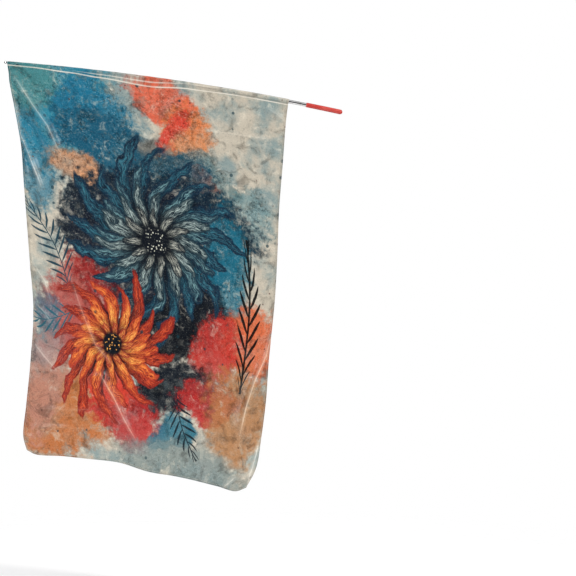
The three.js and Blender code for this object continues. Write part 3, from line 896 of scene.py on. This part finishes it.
class Print(Paint):
    """The printed picture, built up layer by layer on the flat cloth."""

    def __init__(self, name):
        super().__init__(name)
        self.x, self.y = self.flat_place()
        self.hung_x, _, self.hung_z = self.values("ShaderNodeSeparateXYZ", (self.object_place(),))
        place = self.place(self.x, self.y, 0.0)
        sway = [self.noise((self.x, self.y, z), *SWAY) - 0.5 for z in (0.0, 5.0)]
        self.warp_x, self.warp_y = self.x + sway[0] * WASH_SWAY, self.y + sway[1] * WASH_SWAY
        self.brush_x, self.brush_y = self.x + sway[0] * BRUSH_SWAY, self.y + sway[1] * BRUSH_SWAY
        self.grain = self.noise(place, *GRAIN)
        self.blot = self.noise(place, *BLOTS)
        self.speckle = self.noise(place, *SPECKLES)
        self.rough = (self.grain - 0.5) * 1.3
        self.thinning = self.smooth(self.blot + (self.grain - 0.5) * 0.6, 0.42, 0.72, 1.0, 0.72)
        self.rim_strength = self.smooth(self.grain, 0.45, 0.7, 0.0, 0.3)
        self.wet = 0.0
        self.colour = self.mix(linear(GROUND), linear(GROUND_SHADE), self.smooth(self.blot, 0.42, 0.66))
        self.cover(PAPER, self.smooth(self.grain, 0.5, 0.75, 0.0, 0.55))
        self.wash_group = make_group(wash_nodes)
        self.petal_group = make_group(petal_nodes)
        self.spray_group = make_group(spray_nodes)
        self.segment_group = make_group(segment_nodes)
        self.crest_group = make_group(crest_nodes)

    def cover(self, colour, share, blend="MIX"):
        """Lays a colour, given as a screen colour or as a Value, over the picture so far."""
        colour = linear(colour) if isinstance(colour, str) else colour
        self.colour = self.mix(self.colour, colour, share, blend)

    def lay(self, group, *values):
        """Lays what a group of nodes paints over the picture so far."""
        (self.colour,) = self.use(group, self.colour, *values)

    def shade(self, depth, share):
        """Darkens the picture so far."""
        self.cover(self.mix((0.0, 0.0, 0.0), self.colour, depth), share)

    def deepen(self, power, saturation):
        """Deepens the darks and clears the lights of the picture so far, and keeps its middle tone."""
        curve = self.value("ShaderNodeGamma", (self.colour, power))
        inputs = {"Color": curve, "Saturation": saturation}
        self.colour = self.value("ShaderNodeHueSaturation", inputs)
        gain = MIDDLE_TONE ** (1 - power)
        self.cover((gain, gain, gain), 1.0, "MULTIPLY")

    def wash(self, x, y, half_width, half_height, turn, colour, strength, softness):
        self.colour, self.wet = self.use(
            self.wash_group, self.colour, linear(colour), self.wet, self.warp_x, self.warp_y, self.rough,
            self.thinning, self.rim_strength, x / 100, y / 100, *cos_sin(turn), half_width / 100,
            half_height / 100, strength / 100, softness / 100,
        )

    def mottle(self):
        """Pools, pale backruns and settled grit inside the washes, as in wet watercolour."""
        pools = self.noise((self.brush_x, self.brush_y, 9.0), *POOLS)
        grit = self.noise((self.x, self.y, 14.0), *GRIT)
        tint = self.noise((self.x, self.y, 21.0), *TINT)
        wet = self.wet * self.smooth(self.y, 1.0, 0.5, 0.35, 1.0)
        patchy = self.smooth(self.blot, 0.4, 0.6, 0.25, 1.0) * (wet * 0.85 + 0.15)
        self.cover(DUST, self.smooth(tint, 0.53, 0.62, 0.0, 0.35) * wet)
        self.shade(0.55, self.smooth(pools, 0.5, 0.66, 0.0, 0.85))
        self.cover(BACKRUN, self.smooth(pools, 0.44, 0.33, 0.0, 0.42))
        self.shade(0.42, self.smooth(grit, 0.5, 0.62, 0.0, 0.9) * patchy)
        self.cover(PALE_GRIT, self.smooth(grit, 0.46, 0.35, 0.0, 0.42) * patchy)

    def bloom(self, x, y, radius, twist, seed, rows):
        dx, dy = self.brush_x - x, self.brush_y - y
        reach = (dx * dx + dy * dy) ** 0.5 / radius
        curl = self.noise((dx, dy, seed), *CURL)
        turn = self.math("ARCTAN2", dy, dx) / (2 * math.pi) + reach * twist + 1.0 + (curl - 0.5) * 0.075
        for number, (count, length, start, *colours) in enumerate(rows):
            colours = [linear(colour) for colour in colours]
            places = (reach, turn, count, length, start, seed, number * 31.0, seed + number)
            self.lay(self.petal_group, *colours, *places)

        # Heart of the bloom: dark, with pale dots.
        self.cover(INK, self.smooth(reach + (self.grain - 0.5) * 0.08, 0.17, 0.12))
        dots = self.smooth(self.cells(self.place(dx, dy, seed), 105.0)[0], 0.32, 0.2)
        self.cover(rows[-1][-1], dots * self.smooth(reach, 0.15, 0.1))

    def spray(self, x, y, turn, length, leaves, leaf_length, slant, bend, colour, thick=0.45, stem=0.0026):
        dx, dy = self.x + (self.grain - 0.5) * 0.006 - x, self.y - y
        shape = (length, leaves, leaf_length, slant, bend, thick, stem)
        self.lay(self.spray_group, linear(colour), dx, dy, *cos_sin(turn), *shape)

    def spatter(self, scale, size, colour, low, high):
        """Drops of paint of chance sizes, on the share of the cells above low."""
        distance, chance = self.cells(self.place(self.x + 3.0, self.y + scale, scale), scale)
        dot = self.smooth(distance - chance * size, 0.03, -0.03) * self.smooth(chance, low, high)
        self.cover(colour, dot * 0.75)

    def worn_crest(self, wear, path):
        """Painted highlight along the sharp crest of a fold, whose path is in the hung cloth's x and z."""
        nearest, fade = 1.0, wear
        for number, ((start_x, start_z), (end_x, end_z)) in enumerate(zip(path, path[1:])):
            run_x, run_z = (end_x - start_x) * MM, (end_z - start_z) * MM
            stretch = (start_x * MM, start_z * MM, run_x, run_z, run_x**2 + run_z**2)
            on, gap = self.use(self.segment_group, self.hung_x, self.hung_z, *stretch)
            nearest = self.math("MINIMUM", nearest, gap)
            if number == 0:
                fade = fade * self.smooth(on, 0.05, 0.7)
            if number == len(path) - 2:
                fade = fade * self.smooth(on, 1.0, 0.3)
        self.lay(self.crest_group, nearest, self.grain, fade)


def cloth_material():
    paint = Print("cloth_print")
    for wash in WASHES:
        paint.wash(*wash)
    paint.mottle()
    for spray in SPRAYS:
        paint.spray(*spray)
    paint.bloom(*COOL_BLOOM)
    paint.bloom(*WARM_BLOOM)
    paint.spray(*DARK_SPRAY)
    for drops in DROPS:
        paint.spatter(*drops)
    paint.deepen(CONTRAST, SATURATION)
    # Painted highlights: the print is lightened along the sharp crests of the folds.
    for _, _, wear, path in CREASES:
        if wear:
            paint.worn_crest(wear, path)
    paint.cover(DARK_SPECKLE, paint.smooth(paint.speckle, 0.47, 0.3, 0.0, 0.45))
    paint.cover(PALE_SPECKLE, paint.smooth(paint.speckle, 0.55, 0.75, 0.0, 0.28))

    # Painted shade along the hems, whose doubled cloth is denser and lets less light through, and painted
    # highlights along the seam and the sleeve's pleat.
    edge = paint.math("MINIMUM", paint.x, FLAG_WIDTH * MM - paint.x)
    edge = paint.math("MINIMUM", edge, FLAG_DROP * MM - paint.y)
    paint.cover(HEM_SHADE, paint.smooth(edge, (HEM_WIDTH + 1) * MM, HEM_WIDTH * MM) * 0.22, "MULTIPLY")
    # Painted highlight: a pale line along the seam's ridge.
    seam = paint.smooth(abs(paint.y - SEAM_HEIGHT * MM), 0.0034, 0.0008)
    paint.cover(SEAM_THREAD, seam * paint.smooth(paint.blot, 0.35, 0.6, 0.5, 0.8))
    # Painted highlight: a pale line along the ridge of the sleeve's pleat.
    above = paint.y + 0.0042 + paint.smooth(paint.x, 0.5, 0.85, 0.0, 0.0136)
    pleat = paint.smooth(abs(above), 0.0012, 0.0002) * paint.smooth(paint.x, 0.2, 0.34)
    paint.cover(SEAM_THREAD, pleat * paint.smooth(paint.grain, 0.3, 0.6, 0.35, 0.7))

    weave = paint.math("SINE", paint.x * WEAVE) * paint.math("SINE", paint.y * WEAVE)
    crumple = paint.noise((paint.x, paint.y * 0.55, 3.0), *CRUMPLE)
    return paint.finish(
        Base_Color=paint.colour,
        Roughness=paint.smooth(paint.grain, 0.3, 0.7, 0.29, 0.39),
        Specular_IOR_Level=0.3,
        Normal=paint.bump(crumple, 0.0042, 0.55, paint.bump(weave, 0.00004, 0.35)),
        Sheen_Weight=0.04,
        Sheen_Roughness=0.4,
    )


def steel_material():
    """Polished tube, with fine lengthwise marks of drawing and handling."""
    paint = Paint("pole_steel")
    along, turn = paint.flat_place()
    marks = paint.noise((along * 9.0, turn * 5.0, 0.0), 3.0, 3.0, 0.6)
    cloud = paint.noise((along, turn * 0.02, 0.0), 30.0, 3.0, 0.5)
    colour = paint.between("bdbab8", "dcdbdb", cloud)
    return paint.finish(
        Base_Color=colour,
        Metallic=1.0,
        Roughness=paint.smooth(marks, 0.3, 0.75, 0.07, 0.16),
        Normal=paint.bump(marks, 0.00001, 0.25),
    )


def grip_material():
    """Soft coral rubber with a faint grain."""
    paint = Paint("grip_rubber")
    place = paint.object_place()
    grain = paint.noise(place, 900.0, 3.0, 0.6)
    worn = paint.noise(place, 30.0, 4.0, 0.5)
    colour = paint.between("cb3b33", "d8554b", worn)
    return paint.finish(
        Base_Color=colour,
        Roughness=paint.smooth(worn, 0.3, 0.7, 0.4, 0.55),
        Normal=paint.bump(grain, 0.00005, 0.5),
    )


def thread_material():
    """Pale sewing thread, twisted and slightly uneven."""
    paint = Paint("sewing_thread")
    place = paint.object_place()
    twist = paint.noise(place, 1800.0, 2.0, 0.5)
    colour = paint.between("e9dfcd", "faf4e8", twist)
    return paint.finish(Base_Color=colour, Roughness=0.6, Normal=paint.bump(twist, 0.0001, 0.5))


cloth.data.materials.append(cloth_material())
steel = steel_material()
for tube in [*tubes, ball]:
    tube.data.materials.append(steel)
grip.data.materials.append(grip_material())

STITCH_LENGTH = 3.2
STITCH_GAP = 0.9
STITCH_RADIUS = 0.35
STITCH_SIDES = 5
SEAM_STITCH_DROP = 3.4

# Rings of a stitch, as (share of its length, size, rise), in radii of the thread.
STITCH_RINGS = ((0.0, 0.3, -0.2), (0.18, 1.0, 0.25), (0.5, 1.15, 0.4), (0.82, 1.0, 0.25), (1.0, 0.3, -0.2))


def stitches(name, line):
    """A row of small flat-lying stitches along a line of points on the cloth's front."""
    length = running_length(line)
    count = int(length[-1] // (STITCH_LENGTH + STITCH_GAP))
    start = np.arange(count) * length[-1] / count
    ahead = unit(on_line(line, length, start + STITCH_LENGTH) - on_line(line, length, start))
    side = unit(np.cross(ahead, (0, 1, 0)))
    out = np.cross(side, ahead)
    out *= -np.sign(out[:, 1:2])
    turn = np.linspace(0, 2 * np.pi, STITCH_SIDES, endpoint=False)[:, None, None]
    round_thread = np.cos(turn) * side + np.sin(turn) * out
    rings = []
    for share, size, rise in STITCH_RINGS:
        centre = on_line(line, length, start + share * STITCH_LENGTH) + out * rise * STITCH_RADIUS
        rings.append(centre + STITCH_RADIUS * size * round_thread)
    points = np.array(rings).transpose(2, 0, 1, 3).reshape(-1, 3)
    faces = []
    for first in range(0, len(points), len(STITCH_RINGS) * STITCH_SIDES):
        last = first + (len(STITCH_RINGS) - 1) * STITCH_SIDES
        for ring in range(first, last, STITCH_SIDES):
            for k in range(STITCH_SIDES):
                low, next_low = ring + k, ring + (k + 1) % STITCH_SIDES
                faces.append((low, next_low, next_low + STITCH_SIDES, low + STITCH_SIDES))
        faces.append(tuple(first + k for k in reversed(range(STITCH_SIDES))))
        faces.append(tuple(last + k for k in range(STITCH_SIDES)))
    piece = make_mesh(name, points, faces)
    piece.data.materials.append(thread)
    return piece


def front_line(u, v):
    """Points on the front face of the cloth at the given shares across and down."""
    step = 0.001
    across = cloth_points(np.minimum(u + step, 1), v) - cloth_points(np.maximum(u - step, 0), v)
    down = cloth_points(u, np.minimum(v + step, 1)) - cloth_points(u, np.maximum(v - step, 0))
    return cloth_points(u, v) - unit(np.cross(across, down)) * half_thickness(u, v)


thread = thread_material()
HEM_STITCH = (HEM_WIDTH - STITCH_INSET) / FLAG_WIDTH
LOW_STITCH = 1 - (HEM_WIDTH - STITCH_INSET) / FLAG_DROP
SEAM_STITCH = SEAM_STITCH_DROP / FLAG_DROP
samples = np.linspace(0.004, 0.996, 900)
sewing = [
    stitches("sleeve_stitching", front_line(samples, np.full_like(samples, SEAM_STITCH))),
    stitches("left_hem_stitching", front_line(np.full_like(samples, HEM_STITCH), samples)),
    stitches("right_hem_stitching", front_line(np.full_like(samples, 1 - HEM_STITCH), samples)),
    stitches("bottom_hem_stitching", front_line(samples, np.full_like(samples, LOW_STITCH))),
]

for piece in [cloth, *tubes, ball, grip, *sewing]:
    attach(piece, "root")

FLOOR_CENTRE = (-0.6, 0.0, -1.70)
FLOOR_RADIUS = 3.0
FLOOR_SIDES = 64
FLOOR_FADE_START = 0.9
FLOOR_FADE_END = 2.6


def make_floor():
    """A pale disc under the flag that fades out before its rim shows."""
    turn = np.linspace(0, 2 * np.pi, FLOOR_SIDES, endpoint=False)
    rim = np.stack([np.cos(turn), np.sin(turn), 0 * turn], axis=-1) * FLOOR_RADIUS + FLOOR_CENTRE
    floor = make_mesh("floor", rim / MM, [tuple(range(FLOOR_SIDES))])
    paint = Paint("floor")
    centred = paint.value("ShaderNodeVectorMath", (paint.object_place(), FLOOR_CENTRE), operation="SUBTRACT")
    distance = paint.value("ShaderNodeVectorMath", (centred,), "Value", operation="LENGTH")
    material = paint.finish(
        Base_Color=(0.96, 0.96, 0.96),
        Roughness=0.8,
        Emission_Color=(1.0, 1.0, 1.0),
        Emission_Strength=0.22,
        Alpha=paint.smooth(distance, FLOOR_FADE_END, FLOOR_FADE_START),
    )
    floor.data.materials.append(material)
    floor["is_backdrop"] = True


STUDIO_LOW = 0.18
STUDIO_HIGH = 0.43
PANEL_HIGH = 0.95
PANEL_LOW = 0.85


def make_world():
    """White behind the object. Its light comes from a soft studio that is dimmer below, and what shines
    in the object is a dark gap at the viewer's height between a high and a low pale panel."""
    world = bpy.context.scene.world or bpy.data.worlds.new("studio")
    bpy.context.scene.world = world
    paint = Paint(world)
    paint.tree.nodes.clear()
    ahead = paint.value("ShaderNodeTexCoord", output="Generated")
    _, depth, height = paint.values("ShaderNodeSeparateXYZ", (ahead,))
    studio = paint.smooth(height, -0.35, 0.6, STUDIO_LOW, STUDIO_HIGH)
    high_panel = paint.smooth(height, 0.46, 0.6, 0.0, PANEL_HIGH)
    panels = high_panel + paint.smooth(height, -0.4, -0.54, 0.0, PANEL_LOW)
    shine = panels * paint.smooth(depth, 0.45, 0.05, 0.12, 1.0) + 0.02
    glossy = paint.value("ShaderNodeLightPath", output="Is Glossy Ray")
    seen = paint.value("ShaderNodeLightPath", output="Is Camera Ray")
    strength = studio + (shine - studio) * glossy
    colour = paint.mix((0.97, 0.985, 1.0), (1.0, 1.0, 1.0), seen)
    inputs = {"Strength": strength + (1.0 - strength) * seen, "Color": colour}
    paint.node("ShaderNodeOutputWorld", (paint.value("ShaderNodeBackground", inputs),))


# Soft lights, as (name, place, the point that it faces, width, power in watts, colour).
LIGHTS = (
    ("key", (3.2, -2.3, 1.7), (-0.6, 0.0, -0.5), 0.6, 132, (1.0, 0.98, 0.95)),
    ("left", (-3.6, -2.4, 0.2), (-0.5, 0.0, -0.8), 0.7, 56, (0.98, 0.99, 1.0)),
    ("fill", (-1.2, -5.4, 1.4), (-0.6, 0.0, -0.6), 2.0, 32, (0.97, 0.985, 1.0)),
    ("back", (-0.5, 3.6, 1.8), (-0.6, 0.0, -0.5), 2.4, 60, (1.0, 1.0, 1.0)),
)


def make_lights():
    for name, place, target, width, power, colour in LIGHTS:
        data = bpy.data.lights.new(name, "AREA")
        data.energy, data.size, data.color = power, width, colour
        lamp = bpy.data.objects.new(name, data)
        lamp.visible_glossy = name in ("key", "left")
        lamp.location = place
        lamp.rotation_euler = (Vector(target) - Vector(place)).to_track_quat("-Z", "Y").to_euler()
        bpy.context.scene.collection.objects.link(lamp)


make_floor()
make_world()
make_lights()
bpy.context.scene.view_settings.view_transform = "Standard"

low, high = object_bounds()
